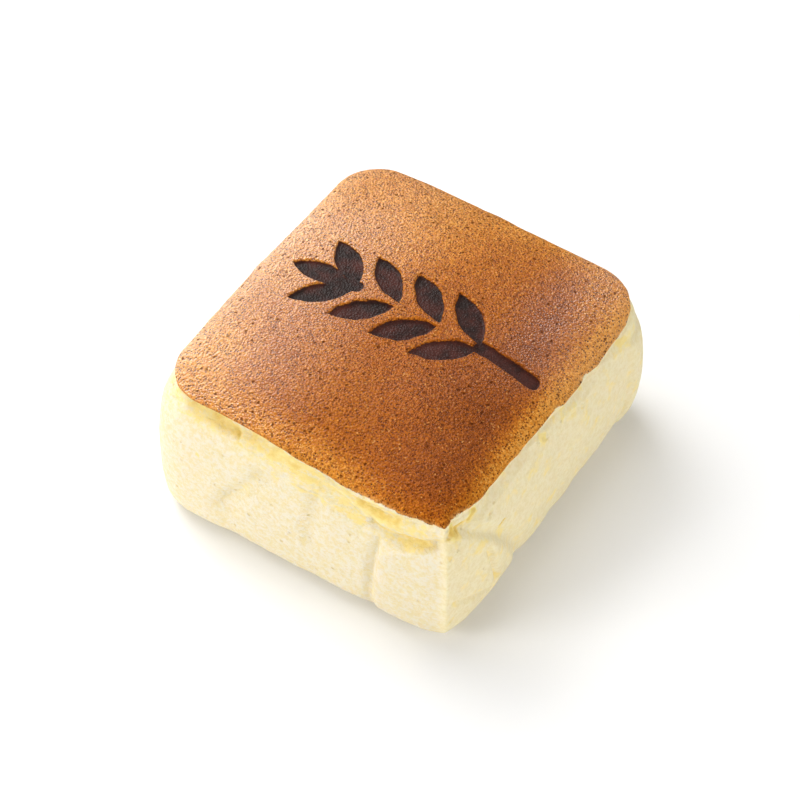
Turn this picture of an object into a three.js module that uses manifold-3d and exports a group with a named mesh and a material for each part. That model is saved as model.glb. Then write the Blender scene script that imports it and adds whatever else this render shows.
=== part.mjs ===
// A souffle cake baked in a square paper case: one soft block with a domed, browned top, pale walls
// creased by the folds of the paper, a groove under the rim of the crust, and an ear of wheat
// pressed into the top with a hot iron.
// Millimetres, +Z up, origin at the middle of the underside. The front wall faces -Y.
import * as THREE from "three";
import { mergeVertices } from "three/addons/utils/BufferGeometryUtils.js";
import Module from "manifold-3d";

// Driving dimensions
const CAKE_WIDTH = 119; // at the belly between the corner panels, along X
const CAKE_DEPTH = 130; // the same along Y
const BELLY_SHARE = 0.45; // level of the belly, as a share of the rim's height
const SHOULDER_CURVE = 2.5; // how late the wall draws in towards the rim
const CROWN_RISE = 9; // top of the dome over the mean rim
const DOME_FULLNESS = 2; // more is flatter in the middle
const DOME_SHOULDER = 0.7; // 1 is a plain parabola, less is a steeper shoulder at the rim

// Values at the four corners: front right, back right, back left, front left
const RIM_RADIUS = [11.5, 20.5, 18, 21]; // plan radius at the rim of the crust
const FOOT_RADIUS = [13, 17.5, 18, 18]; // plan radius at the foot
const FOOT_ROUNDING = [10, 5.5, 6.5, 7.5]; // rounding between wall and underside
const FOOT_TAPER = [1, 5.6, 3, 1.8]; // how far the wall draws in from belly to foot

// How far the wall draws in from belly to rim, at each corner and in the middle of the wall after it
const SHOULDER_INSET = [4.6, 4.2, 3.8, 3.45, 3.4, 3.5, 5.2, 5.05];

// Values at sixteen even stations, from the front right corner round by the right wall
const RIM_HEIGHT = [56, 53, 52.2, 50.8, 54, 55.5, 56, 56.5, 55, 55.3, 56.4, 57.2, 56.5, 56.5, 56, 52.5];
const GROOVE_DROP = [8.5, 3.5, 3, 3, 3, 3.5, 4, 3.5, 3, 3.5, 4, 3.5, 3, 2.8, 4, 8];
const GROOVE_DEPTH = [1.4, 1, 0.7, 0.6, 0.7, 0.9, 1.1, 0.8, 0.9, 1.2, 0.9, 1.2, 2.2, 2.6, 1.4, 1.3];
const GROOVE_WIDTH = 2.2;

// Panels that stand out where the paper was folded round a corner. Reaches run along the wall from the
// corner's middle, before it and after it; a lean moves that edge back as the wall rises. A top falls by
// its slope before the corner and rises by another after it. The edge is the run of the raised edge, the
// fold the depth of the crease along it.
const CORNER_PANELS = [
  {
    before: 28.5, beforeLean: 6, after: 42, afterLean: 40,
    top: 48.7, slope: 0.32, afterRise: 0.8, raise: 1.2, edge: 3, fold: 0.9,
  },
  {
    before: 17, beforeLean: 2, after: 36, afterLean: 14,
    top: 44, slope: 0, afterRise: 0, raise: 0.9, edge: 3, fold: 0.7,
  },
  {
    before: 33, beforeLean: 18, after: 27, afterLean: 5,
    top: 46, slope: 0, afterRise: 0, raise: 1.1, edge: 3, fold: 0.7,
  },
  {
    before: 34, beforeLean: 8, after: 28, afterLean: -33,
    top: 50, slope: 0, afterRise: 0, raise: 0.7, edge: 8, fold: 0.25,
  },
];
const PANEL_FADE = 16; // height over which a panel rises out of the foot
const PANEL_FOLD_WIDTH = 2.2;
const PANEL_AFTER_STEEPNESS = 0.55; // the edge after a corner is softer than the edge before it

// The front right corner was pinched: both walls are pressed flat beside it, which leaves a sharp ridge
const PINCH_DEPTH = 1.9;
const PINCH_PEAK = 7; // distance from the ridge at which the walls are pressed in most
const PINCH_REACH = 22; // distance at which they are back in line
const PINCH_AT_FOOT = 0.3; // share of the pinch that is left at the foot
const RIDGE_RAISE = 0.6;
const RIDGE_WIDTH = 1.8;
const RIDGE_FOOT = 4;
const RIDGE_TOP = 47;

// Single creases of the paper: corner, start and end as [reach along the wall, height], depth and width
const CREASES = [
  { corner: 0, from: [19.5, 33], to: [24.5, 14], depth: 1.2, width: 1.4 },
  { corner: 0, from: [2, 21], to: [19, 12.5], depth: 1, width: 1.4 },
  { corner: 0, from: [-49, 43], to: [-51, 24], depth: 0.6, width: 3 },
  { corner: 0, from: [-78, 46], to: [-84.8, 15], depth: 0.45, width: 3 },
  { corner: 1, from: [54, 40], to: [50, 8], depth: 0.9, width: 2 },
  { corner: 1, from: [70, 34], to: [82, 12], depth: 0.7, width: 1.8 },
  { corner: 2, from: [44, 42], to: [48, 6], depth: 0.8, width: 2 },
  { corner: 2, from: [62, 28], to: [72, 10], depth: 0.7, width: 1.6 },
];

// Relief of the crust: strokes from one point to another, raised or, with a minus, sunk
const CRUST_STROKES = [
  { from: [-4, -18], to: [13, 2], raise: -0.7, width: 3 },
  { from: [5, 33], to: [10, 55], raise: 0.8, width: 5 },
  { from: [-30, -44], to: [24, -52], raise: 0.5, width: 14 },
];
const PRESSED_DISH = { centre: [1, 4], reach: [50, 30], depth: 0.8 };

// Ear of wheat, lying along X with its tip towards -X
const BURN_DEPTH = 1;
const EAR_TIP = [-46, 5];
const GRAIN_HALF_LENGTH = 11;
const GRAIN_HALF_WIDTH = 4.2;
const GRAIN_ANGLE = 0.7; // radians off the middle line
const GRAIN_PAIRS = 4;
const GRAIN_PITCH = 15.5;
const GRAIN_INNER_GAP = 1.1; // from the middle line to a grain's inner end
const TIP_GAP = 3; // from the tip grain to the inner ends of the first pair
const STALK_LENGTH = 19;
const STALK_HALF_WIDTH = 2.6;

// Mesh divisions along each wall, up it and round each arc of the ear
const WALL_COLUMNS = 38;
const WALL_ROWS = 15;
const ARC_SEGMENTS = 7;
const ROW_CROWDING = 0.5; // 0 is even rows, 1 crowds them at foot and rim
const RING_CROWDING = 1.5; // 1 is even rings on the dome, more crowds them at the rim
const MERGE_DISTANCE = 1e-4;
const SMALLEST_RADIUS = 1e-6;

const HALF_WIDTH = CAKE_WIDTH / 2;
const HALF_DEPTH = CAKE_DEPTH / 2;
const CORNER_SIGNS = [[1, -1], [1, 1], [-1, 1], [-1, -1]];
const MEAN_RIM = RIM_HEIGHT.reduce((sum, height) => sum + height) / RIM_HEIGHT.length;

const { clamp, lerp, smoothstep } = THREE.MathUtils;

// A value given at even stations round the cake, joined by a smooth closed curve; turn runs from 0 to 4
function around(values, turn) {
  const n = values.length;
  const x = (turn / 4) * n;
  const k = Math.floor(x);
  const f = x - k;
  const [a, b, c, d] = [-1, 0, 1, 2].map((i) => values[(k + i + n) % n]);
  return b + 0.5 * f * (c - a + f * (2 * a - 5 * b + 4 * c - d + f * (3 * (b - c) + d - a)));
}

// Point and outward normal on a rounded rectangle; a whole turn number is the middle of that corner
function outline(turn, halfX, halfY, radii) {
  const k = Math.floor(turn) % 4;
  const next = (k + 1) % 4;
  const wall = k % 2 === 0 ? 2 * halfY : 2 * halfX;
  const straight = wall - radii[k] - radii[next];
  const firstArc = (radii[k] * Math.PI) / 4;
  const lastArc = (radii[next] * Math.PI) / 4;
  const run = (turn - Math.floor(turn)) * (firstArc + straight + lastArc);
  const facing = (k * Math.PI) / 2; // the wall's own normal
  const late = run > firstArc + straight;
  const corner = late ? next : k;
  const radius = radii[corner];
  let angle = facing;
  let slide = 0;
  if (run < firstArc) angle = facing - Math.PI / 4 + run / Math.max(radius, SMALLEST_RADIUS);
  else if (late) angle = facing + (run - firstArc - straight) / Math.max(radius, SMALLEST_RADIUS);
  else slide = run - firstArc;
  const normal = new THREE.Vector2(Math.cos(angle), Math.sin(angle));
  const [signX, signY] = CORNER_SIGNS[corner];
  const point = new THREE.Vector2(signX * (halfX - radius), signY * (halfY - radius));
  point.addScaledVector(normal, radius);
  point.add(new THREE.Vector2(-Math.sin(facing), Math.cos(facing)).multiplyScalar(slide));
  return { point, normal };
}

// Distance along the wall from the middle of a corner, negative before it
function reachFrom(corner, turn) {
  const turns = ((turn - corner + 6) % 4) - 2;
  const wall = (turns > 0) === (corner % 2 === 0) ? CAKE_DEPTH : CAKE_WIDTH;
  const lostToCorners = (2 - Math.PI / 2) * RIM_RADIUS[corner];
  return turns * (wall - lostToCorners);
}

// Distance from a point to a stroke between two points
function strokeDistance(x, y, from, to) {
  const dx = to[0] - from[0];
  const dy = to[1] - from[1];
  const share = clamp(((x - from[0]) * dx + (y - from[1]) * dy) / (dx * dx + dy * dy), 0, 1);
  return Math.hypot(x - from[0] - share * dx, y - from[1] - share * dy);
}

const bell = (distance, width) => Math.exp(-((distance / width) ** 2));

// How far the walls are pressed flat beside the front right corner
function pinch(turn, height) {
  const away = Math.abs(reachFrom(0, turn));
  const rise = 1 - clamp(1 - away / PINCH_PEAK, 0, 1) ** 2;
  const fall = 1 - smoothstep(away, PINCH_PEAK, PINCH_REACH);
  const share = lerp(PINCH_AT_FOOT, 1, smoothstep(height, RIDGE_FOOT, RIDGE_FOOT + 10));
  const ridge = RIDGE_RAISE * bell(away, RIDGE_WIDTH) * (1 - smoothstep(height, RIDGE_TOP - 6, RIDGE_TOP));
  return (PINCH_DEPTH * rise * fall - ridge) * share;
}

// How far inside a corner panel's edge a place on the wall is
function panelInside(panel, corner, turn, height, rimHeight) {
  const reach = reachFrom(corner, turn);
  const lean = (height / rimHeight) ** 2;
  const before = reach + panel.before - panel.beforeLean * lean;
  const after = PANEL_AFTER_STEEPNESS * (panel.after - panel.afterLean * lean - reach);
  const top = panel.top + (reach < 0 ? panel.slope : panel.afterRise) * reach;
  return Math.min(before, after, top - height);
}

// How far the folded paper pushed the wall out or in
function paperRelief(turn, height, rimHeight) {
  const fromGroove = rimHeight - height - around(GROOVE_DROP, turn);
  let raised = 0;
  let folded = 0;
  CORNER_PANELS.forEach((panel, corner) => {
    const inside = panelInside(panel, corner, turn, height, rimHeight);
    raised += panel.raise * smoothstep(inside, 0, panel.edge);
    folded += panel.fold * bell(inside, PANEL_FOLD_WIDTH);
  });
  for (const crease of CREASES) {
    const distance = strokeDistance(reachFrom(crease.corner, turn), height, crease.from, crease.to);
    folded += crease.depth * bell(distance, crease.width);
  }
  raised *= smoothstep(height, 0, PANEL_FADE);
  folded *= smoothstep(height, 0, PANEL_FADE / 2);
  return raised - folded - around(GROOVE_DEPTH, turn) * bell(fromGroove, GROOVE_WIDTH);
}

// Outward offset of the wall: rounded foot, taper up to the belly, shoulder up to the rim
function wallOffset(turn, height, rimHeight) {
  const rounding = around(FOOT_ROUNDING, turn);
  const belly = BELLY_SHARE * rimHeight;
  const under = Math.max(rounding - height, 0);
  const foot = rounding - Math.sqrt(rounding ** 2 - under ** 2);
  const taper = around(FOOT_TAPER, turn) * clamp(1 - height / belly, 0, 1) ** 2;
  const rise = clamp((height - belly) / (rimHeight - belly), 0, 1);
  const shoulder = around(SHOULDER_INSET, turn) * rise ** SHOULDER_CURVE;
  return paperRelief(turn, height, rimHeight) - pinch(turn, height) - foot - taper - shoulder;
}

function wallPoint(turn, level) {
  const rimHeight = around(RIM_HEIGHT, turn);
  const height = level * rimHeight;
  const radii = RIM_RADIUS.map((radius, corner) => lerp(FOOT_RADIUS[corner], radius, level));
  const { point, normal } = outline(turn, HALF_WIDTH, HALF_DEPTH, radii);
  point.addScaledVector(normal, wallOffset(turn, height, rimHeight));
  return new THREE.Vector3(point.x, point.y, height);
}

// Low swells, creases and the shallow dish that the iron left
function crustRelief(x, y) {
  const { centre, reach, depth } = PRESSED_DISH;
  let relief = -depth * bell(Math.hypot((x - centre[0]) / reach[0], (y - centre[1]) / reach[1]), 1);
  for (const { from, to, raise, width } of CRUST_STROKES) {
    relief += raise * bell(strokeDistance(x, y, from, to), width);
  }
  return relief;
}

// The dome: rings of the rim's own outline that grow round towards the middle
function domePoint(turn, ring) {
  const rimHeight = around(RIM_HEIGHT, turn);
  const radii = RIM_RADIUS.map((radius) => ring * lerp(HALF_WIDTH, radius, ring ** 2));
  const { point, normal } = outline(turn, HALF_WIDTH * ring, HALF_DEPTH * ring, radii);
  const pinched = pinch(turn, rimHeight);
  const inset = (wallOffset(turn, rimHeight, rimHeight) + pinched) * ring ** 2 - pinched * ring ** 8;
  point.addScaledVector(normal, inset);
  const base = lerp(MEAN_RIM, rimHeight, ring ** 2);
  const rise = CROWN_RISE * (1 - ring ** DOME_FULLNESS) ** DOME_SHOULDER;
  return new THREE.Vector3(point.x, point.y, base + rise + crustRelief(point.x, point.y) * (1 - ring ** 4));
}

// Where a point of the unit box lies round the cake
function turnOf(x, y, ring) {
  if (x === ring && y < ring) return (y / ring + 1) / 2;
  if (y === ring && x > -ring) return 1 + (1 - x / ring) / 2;
  if (x === -ring && y > -ring) return 2 + (1 - y / ring) / 2;
  return 3 + (x / ring + 1) / 2;
}

// A finely divided box; its underside, which stays flat, is a fan of triangles round its middle
function dividedBox() {
  const box = new THREE.BoxGeometry(2, 2, 1, WALL_COLUMNS, WALL_COLUMNS, WALL_ROWS).translate(0, 0, 0.5);
  box.deleteAttribute("normal");
  box.deleteAttribute("uv");
  box.setIndex(Array.from(box.index.array).slice(0, box.groups[5].start));
  const open = mergeVertices(box);
  const position = open.getAttribute("position");
  const foot = [];
  for (let i = 0; i < position.count; i++) {
    if (position.getZ(i) > 0) continue;
    foot.push({ vertex: i, turn: turnOf(position.getX(i), position.getY(i), 1) % 4 });
  }
  foot.sort((one, other) => one.turn - other.turn);
  const middle = position.count;
  const fan = foot.flatMap(({ vertex }, i) => [middle, foot[(i + 1) % foot.length].vertex, vertex]);
  const closed = new THREE.BufferGeometry();
  closed.setAttribute("position", new THREE.Float32BufferAttribute([...position.array, 0, 0, 0], 3));
  closed.setIndex([...open.index.array, ...fan]);
  return closed;
}

// Every point of the divided box moved to its place on the cake
function cakeGeometry() {
  const geometry = dividedBox();
  const position = geometry.getAttribute("position");
  for (let i = 0; i < position.count; i++) {
    const [x, y, z] = [position.getX(i), position.getY(i), position.getZ(i)];
    const ring = Math.max(Math.abs(x), Math.abs(y));
    const turn = ring > 0 ? turnOf(x, y, ring) % 4 : 0;
    const level = lerp(z, (1 - Math.cos(Math.PI * z)) / 2, ROW_CROWDING);
    let place = wallPoint(turn, level);
    if (z === 1) place = domePoint(turn, 1 - (1 - ring) ** RING_CROWDING);
    if (z === 0) place.multiply(new THREE.Vector3(ring, ring, 0));
    position.setXYZ(i, place.x, place.y, place.z);
  }
  return geometry;
}

// A grain of the ear: two arcs that meet in a point at either end
function grainShape(x, y, angle) {
  const slim = (GRAIN_HALF_LENGTH ** 2 / GRAIN_HALF_WIDTH - GRAIN_HALF_WIDTH) / 2; // arc's centre to axis
  const radius = slim + GRAIN_HALF_WIDTH;
  const half = Math.asin(GRAIN_HALF_LENGTH / radius);
  const across = new THREE.Vector2(-Math.sin(angle), Math.cos(angle)).multiplyScalar(slim);
  const shape = new THREE.Shape();
  const quarter = Math.PI / 2;
  shape.absarc(x - across.x, y - across.y, radius, angle + quarter - half, angle + quarter + half, false);
  shape.absarc(x + across.x, y + across.y, radius, angle - quarter - half, angle - quarter + half, false);
  return shape;
}

// The stalk: a bar with round ends
function stalkShape(startX, endX, y) {
  const shape = new THREE.Shape();
  const quarter = Math.PI / 2;
  shape.absarc(endX, y, STALK_HALF_WIDTH, -quarter, quarter, false);
  shape.absarc(startX, y, STALK_HALF_WIDTH, quarter, 3 * quarter, false);
  return shape;
}

// A grain at the tip, pairs of grains down the ear, and the stalk from the inner ends of the last pair
function earShapes() {
  const [tipX, middleY] = EAR_TIP;
  const shapes = [grainShape(tipX + GRAIN_HALF_LENGTH, middleY, 0)];
  const spread = GRAIN_INNER_GAP + GRAIN_HALF_LENGTH * Math.sin(GRAIN_ANGLE);
  let innerEnd = tipX + 2 * GRAIN_HALF_LENGTH + TIP_GAP;
  for (let pair = 0; pair < GRAIN_PAIRS; pair++) {
    const x = innerEnd - GRAIN_HALF_LENGTH * Math.cos(GRAIN_ANGLE) + pair * GRAIN_PITCH;
    for (const hand of [-1, 1]) shapes.push(grainShape(x, middleY + hand * spread, -hand * GRAIN_ANGLE));
  }
  innerEnd += (GRAIN_PAIRS - 1) * GRAIN_PITCH;
  shapes.push(stalkShape(innerEnd + GRAIN_INNER_GAP, innerEnd + GRAIN_INNER_GAP + STALK_LENGTH, middleY));
  return shapes;
}

const wasm = await Module();
wasm.setup();

function solidOf(geometry) {
  const bare = geometry.clone();
  bare.deleteAttribute("normal");
  bare.deleteAttribute("uv");
  const merged = mergeVertices(bare, MERGE_DISTANCE);
  const vertProperties = new Float32Array(merged.getAttribute("position").array);
  const triVerts = new Uint32Array(merged.index.array);
  return new wasm.Manifold(new wasm.Mesh({ numProp: 3, vertProperties, triVerts }));
}

function geometryOf(solid) {
  const { vertProperties, triVerts } = solid.getMesh();
  const geometry = new THREE.BufferGeometry();
  geometry.setAttribute("position", new THREE.BufferAttribute(vertProperties, 3));
  geometry.setIndex(new THREE.BufferAttribute(triVerts, 1));
  geometry.computeVertexNormals();
  return geometry;
}

// The iron sinks its marks by one depth all over, so what it takes off is the ear above a lowered cake
function burntCake() {
  const whole = cakeGeometry();
  const lowered = solidOf(whole.clone().translate(0, 0, -BURN_DEPTH));
  const settings = { depth: MEAN_RIM, bevelEnabled: false, curveSegments: ARC_SEGMENTS };
  const ear = earShapes()
    .map((shape) => solidOf(new THREE.ExtrudeGeometry(shape, settings).translate(0, 0, MEAN_RIM / 2)))
    .reduce((joined, solid) => joined.add(solid));
  const geometry = geometryOf(solidOf(whole).subtract(ear.subtract(lowered)));
  geometry.computeBoundingBox();
  const middle = geometry.boundingBox.getCenter(new THREE.Vector3());
  return geometry.translate(-middle.x, -middle.y, 0);
}

const sponge = new THREE.MeshStandardMaterial({ color: 0xf3e3b4, roughness: 0.85, metalness: 0 });
const cake = new THREE.Mesh(burntCake(), sponge);
cake.name = "souffle_cake";

const group = new THREE.Group();
group.add(cake);
export default group;
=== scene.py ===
"""A square souffle cake: browned crust, soft pale walls creased by a paper case, and a burnt ear of wheat."""

import logging
import math
from dataclasses import dataclass
from enum import Enum
from typing import Any, Callable

import bmesh
import bpy
import numpy as np
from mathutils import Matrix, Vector


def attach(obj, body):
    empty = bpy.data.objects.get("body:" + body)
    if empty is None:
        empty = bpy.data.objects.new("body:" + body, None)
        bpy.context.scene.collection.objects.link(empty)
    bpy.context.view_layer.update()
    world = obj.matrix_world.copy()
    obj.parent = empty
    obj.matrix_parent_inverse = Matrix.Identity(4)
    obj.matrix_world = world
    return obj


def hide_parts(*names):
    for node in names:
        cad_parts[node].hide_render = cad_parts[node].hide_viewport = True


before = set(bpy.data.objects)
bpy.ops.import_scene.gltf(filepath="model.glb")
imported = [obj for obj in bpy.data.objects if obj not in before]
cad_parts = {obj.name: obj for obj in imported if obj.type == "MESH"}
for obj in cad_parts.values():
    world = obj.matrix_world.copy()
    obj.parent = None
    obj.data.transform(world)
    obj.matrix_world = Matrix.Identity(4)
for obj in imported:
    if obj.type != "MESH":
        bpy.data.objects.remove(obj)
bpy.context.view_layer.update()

log = logging.getLogger("souffle_cake")

MM = 0.001
NODE = "souffle_cake"
BODY = "root"
TINY = 1e-6
NO_LENGTH = 1e-9
BLOCK_FACE = 0.999
ALONG = 0.9

Array = np.ndarray
Colour = tuple[float, float, float]
Point2 = tuple[float, float]
Point3 = tuple[float, float, float]


def smooth_step(value: Array, low: float, high: float) -> Array:
    """Rise from 0 at the low limit to 1 at the high one with level ends; a low above high falls."""
    share = np.clip((value - low) / (high - low), 0, 1)
    return share * share * (3 - 2 * share)


def bell(distance: Array, width: float) -> Array:
    """A soft bump of height 1 at distance 0."""
    return np.exp(-((distance / width) ** 2))


def stroke_distance(x: Array, y: Array, start: Point2, end: Point2) -> Array:
    """Distance from points to a straight stroke.

    Args:
        x: First coordinates of the points.
        y: Second coordinates of the points.
        start: Where the stroke starts.
        end: Where it ends.

    Returns:
        The distance of each point from the stroke.
    """
    dx, dy = end[0] - start[0], end[1] - start[1]
    share = np.clip(((x - start[0]) * dx + (y - start[1]) * dy) / (dx * dx + dy * dy), 0, 1)
    return np.hypot(x - start[0] - share * dx, y - start[1] - share * dy)


@dataclass(frozen=True)
class Grit:
    """Smooth random relief that is the same on every run, in millimetres.

    Each octave adds swells of half the size and height to the ones before.
    """

    seed: int
    height: float
    pitch: float | Point3
    octaves: int = 1
    side: int = 64
    shift: float = 1000.0
    octave_shift: float = 37.0

    def at(self, points: Array) -> Array:
        """Relief at points.

        Args:
            points: Places, one per row.

        Returns:
            Heights over the plain surface.
        """
        table = np.random.default_rng(self.seed).random((self.side,) * 3)
        sizes = [0.5**octave for octave in range(self.octaves)]
        total = np.zeros(len(points))
        for octave, size in enumerate(sizes):
            pitch = np.asarray(self.pitch, float) * size
            spot = (points + self.octave_shift * octave) / pitch + self.shift
            cell = np.floor(spot).astype(int)
            share = smooth_step(spot - cell, 0, 1)
            for corner in np.ndindex(2, 2, 2):
                weight = np.prod(np.where(np.array(corner) == 1, share, 1 - share), axis=1)
                i, j, k = ((cell + np.array(corner)) % self.side).T
                total += size * weight * (2 * table[i, j, k] - 1)
        return self.height * total / sum(sizes)


def relief_of(layers: tuple[Grit, ...], points: Array) -> Array:
    """Relief of several layers together."""
    return sum(layer.at(points) for layer in layers)


class Corner(Enum):
    """Corners in the order in which they are met going round the cake."""

    FRONT_RIGHT = 0
    BACK_RIGHT = 1
    BACK_LEFT = 2
    FRONT_LEFT = 3


@dataclass(frozen=True)
class CornerPanel:
    """A panel that stands out where the paper was folded round a corner, in millimetres.

    Reaches run along the wall from the corner's middle, before it and after it, and a lean moves
    that edge back as the wall rises.
    """

    corner: Corner
    before: float
    before_lean: float
    after: float
    after_lean: float
    top: float
    top_slope: float
    after_rise: float
    raised: float
    edge: float
    fold: float


@dataclass(frozen=True)
class Stroke:
    """A long hollow between two places in millimetres, or a swell if its depth has a minus.

    A crease's places are reaches along the wall from a corner and heights, a tear's are reaches and
    drops under the rim, and the crust's are X and Y. A tear is egg yellow inside; that yellow is partly
    painted shade.
    """

    start: Point2
    end: Point2
    depth: float
    width: float
    yolk_and_shade: float = 0.0
    corner: Corner = Corner.FRONT_RIGHT

    def share(self, first: Array, second: Array) -> Array:
        """Share of the full depth at places."""
        return bell(stroke_distance(first, second, self.start, self.end), self.width)


@dataclass(frozen=True)
class BakedForm:
    """The cake's shape in millimetres, worked out from sizes at its corners and round its rim.

    A turn runs from 0 to 4 round the cake: whole numbers are the middles of the corners. A level
    runs from 0 at the foot of the wall to 1 at the rim, a ring from 0 in the middle of the top to
    1 at the rim.
    """

    width: float = 119.0
    depth: float = 130.0
    belly_share: float = 0.45
    shoulder_curve: float = 2.5
    crown_rise: float = 9.0
    dome_fullness: float = 2.0
    dome_shoulder: float = 0.7
    rim_radius: tuple[float, ...] = (11.5, 20.5, 18, 21)
    foot_radius: tuple[float, ...] = (13, 17.5, 18, 18)
    foot_rounding: tuple[float, ...] = (10, 5.5, 6.5, 7.5)
    foot_taper: tuple[float, ...] = (1, 5.6, 3, 1.8)
    shoulder_inset: tuple[float, ...] = (4.6, 4.2, 3.8, 3.45, 3.4, 3.5, 5.2, 5.05)
    rim_height: tuple[float, ...] = (
        56, 53, 52.2, 50.8, 54, 55.5, 56, 56.5, 55, 55.3, 56.4, 57.2, 56.5, 56.5, 56, 52.5)
    groove_drop: tuple[float, ...] = (8.5, 3.5, 3, 3, 3, 3.5, 4, 3.5, 3, 3.5, 4, 3.5, 3, 2.8, 4, 8)
    groove_depth: tuple[float, ...] = (
        0.5, 1, 0.7, 0.6, 0.7, 0.9, 1.1, 0.8, 0.9, 1.2, 0.9, 1.2, 2.2, 2.6, 1.4, 1.3)
    groove_width: float = 2.2
    panel_fade: float = 16.0
    pinch_depth: float = 1.9
    pinch_peak: float = 7.0
    pinch_reach: float = 22.0
    pinch_foot_share: float = 0.3
    pinch_foot_rise: float = 10.0
    pinch_top_power: int = 8
    relief_fade_power: int = 4
    ridge_raised: float = 0.6
    ridge_width: float = 1.8
    ridge_reach: Point2 = (4, 47)
    ridge_top_fade: float = 6.0
    panel_fold_width: float = 2.2
    panel_after_steepness: float = 0.55
    panels: tuple[CornerPanel, ...] = (
        CornerPanel(Corner.FRONT_RIGHT, 28.5, 6, 42, 40, 48.7, 0.32, 0.8, 1.2, 3, 1.4),
        CornerPanel(Corner.BACK_RIGHT, 17, 2, 36, 14, 44, 0, 0, 0.9, 3, 0.7),
        CornerPanel(Corner.BACK_LEFT, 33, 18, 27, 5, 46, 0, 0, 1.1, 3, 0.7),
        CornerPanel(Corner.FRONT_LEFT, 34, 8, 28, -33, 50, 0, 0, 0.7, 8, 0.25),
    )
    creases: tuple[Stroke, ...] = (
        Stroke((19.5, 33), (24.5, 14), 1.8, 1.2),
        Stroke((24.5, 14), (21, 10), 1.2, 1.2),
        Stroke((2, 21), (19, 12.5), 1.5, 1.2),
        Stroke((-49, 43), (-51, 24), 1.4, 2.8),
        Stroke((-70, 42), (-85, 20), 1.8, 3.0),
        Stroke((54, 40), (50, 8), 0.9, 2.0, corner=Corner.BACK_RIGHT),
        Stroke((70, 34), (82, 12), 0.7, 1.8, corner=Corner.BACK_RIGHT),
        Stroke((44, 42), (48, 6), 0.8, 2.0, corner=Corner.BACK_LEFT),
        Stroke((62, 28), (72, 10), 0.7, 1.6, corner=Corner.BACK_LEFT),
    )
    # A tear's last number is its yellow: partly the crumb's own colour, partly painted shade in the hollow.
    tears: tuple[Stroke, ...] = (
        Stroke((-100, 3.2), (-91, 3.9), 1.4, 1.7, 0.45),
        Stroke((-91, 3.9), (-83, 4.2), 2.2, 1.6, 0.7),
        Stroke((-83, 4.2), (-80.8, 5.0), 1.8, 1.0, 1.2),
        Stroke((-79.2, 6.0), (-78.3, 6.4), 1.0, 0.6, 0.8),
        Stroke((-76, 3.8), (-68, 4.9), 0.3, 1.8, 0.5),
        Stroke((-68, 4.9), (-57, 5.4), 0.3, 2.4, 0.65),
        Stroke((-57, 5.4), (-49, 5.2), 0.3, 2.2, 0.5),
        Stroke((-49, 5.2), (-38, 4.2), 0.2, 1.6, 0.35),
        Stroke((-71, 9.6), (-68.5, 10.0), 0.0, 0.7, 0.4),
        Stroke((-66, 11.0), (-63.5, 11.3), 0.0, 0.7, 0.4),
        Stroke((-57, 10.5), (-53.5, 11.0), 0.0, 0.9, 0.45),
        Stroke((-49.5, 10.2), (-45.5, 10.6), 0.0, 0.9, 0.45),
        Stroke((-43, 9.6), (-39, 10.0), 0.0, 0.9, 0.45),
        Stroke((-37, 9.0), (-32, 9.2), 0.0, 0.9, 0.5),
        Stroke((-34, 2.8), (-20, 2.8), 0.0, 1.5, 1.1),
        Stroke((-94.2, 18.1), (-93.8, 18.3), 0.2, 0.6, 1.0),
        Stroke((-72.3, 18.2), (-71.8, 18.4), 0.2, 0.5, 1.0),
        Stroke((-61.1, 22.0), (-60.7, 22.2), 0.2, 0.5, 1.0),
        Stroke((-54.3, 25.3), (-53.9, 25.5), 0.2, 0.5, 1.0),
        Stroke((-24, 4.5), (-6, 5.0), -0.6, 2.6, 0.15),
        Stroke((-28, 7.6), (-16, 10.4), 1.1, 1.3, 0.7),
        Stroke((-16, 10.4), (-7.6, 9.2), 1.2, 1.5, 0.8),
        Stroke((-7.6, 9.2), (-4, 8.2), 1.2, 0.9, 0.6),
        Stroke((3.2, 3.8), (6.5, 5.6), 0.2, 2.2, 1.5),
        Stroke((8, 5.7), (11.5, 5.3), 0.7, 1.2, 2.6),
        Stroke((15, 4.8), (17.5, 3.2), 0.6, 1.1, 2.6),
        Stroke((28.7, 18.4), (31, 17.6), 0.5, 0.6, 2.4),
        Stroke((57.0, 4.3), (58.4, 5.2), 0.8, 1.0, 0.9),
        Stroke((79, 8.2), (79.3, 9.6), 0.6, 0.7, 0.8),
        Stroke((45.6, 8.9), (46.6, 8.7), 0.5, 0.6, 0.8),
        Stroke((22, 9.0), (25, 8.2), 0.5, 0.6, 0.8),
        Stroke((104, 3.0), (108, 4.5), 0.4, 1.6, 0.8),
        Stroke((109.7, 6.1), (109.9, 6.3), 0.7, 0.5, 0.6),
    )
    crust_strokes: tuple[Stroke, ...] = (
        Stroke((-4, -18), (13, 2), 0.7, 3),
        Stroke((5, 33), (10, 55), -0.8, 5),
        Stroke((-30, -44), (24, -52), -0.5, 14),
    )
    dish_centre: Point2 = (1, 4)
    dish_reach: Point2 = (50, 30)
    dish_depth: float = 0.8

    def around(self, values: tuple[float, ...], turn: Array) -> Array:
        """A value given at even stations round the cake, joined by a smooth closed curve.

        Args:
            values: The values at the stations.
            turn: Places round the cake.

        Returns:
            The value at each place.
        """
        stations = np.asarray(values, float)
        place = turn / 4 * len(stations)
        first = np.floor(place).astype(int)
        f = place - first
        a, b, c, d = (stations[(first + step) % len(stations)] for step in (-1, 0, 1, 2))
        return b + 0.5 * f * (c - a + f * (2 * a - 5 * b + 4 * c - d + f * (3 * (b - c) + d - a)))

    def rim_at(self, turn: Array) -> Array:
        """Height of the crust's rim at places round the cake."""
        return self.around(self.rim_height, turn)

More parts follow.
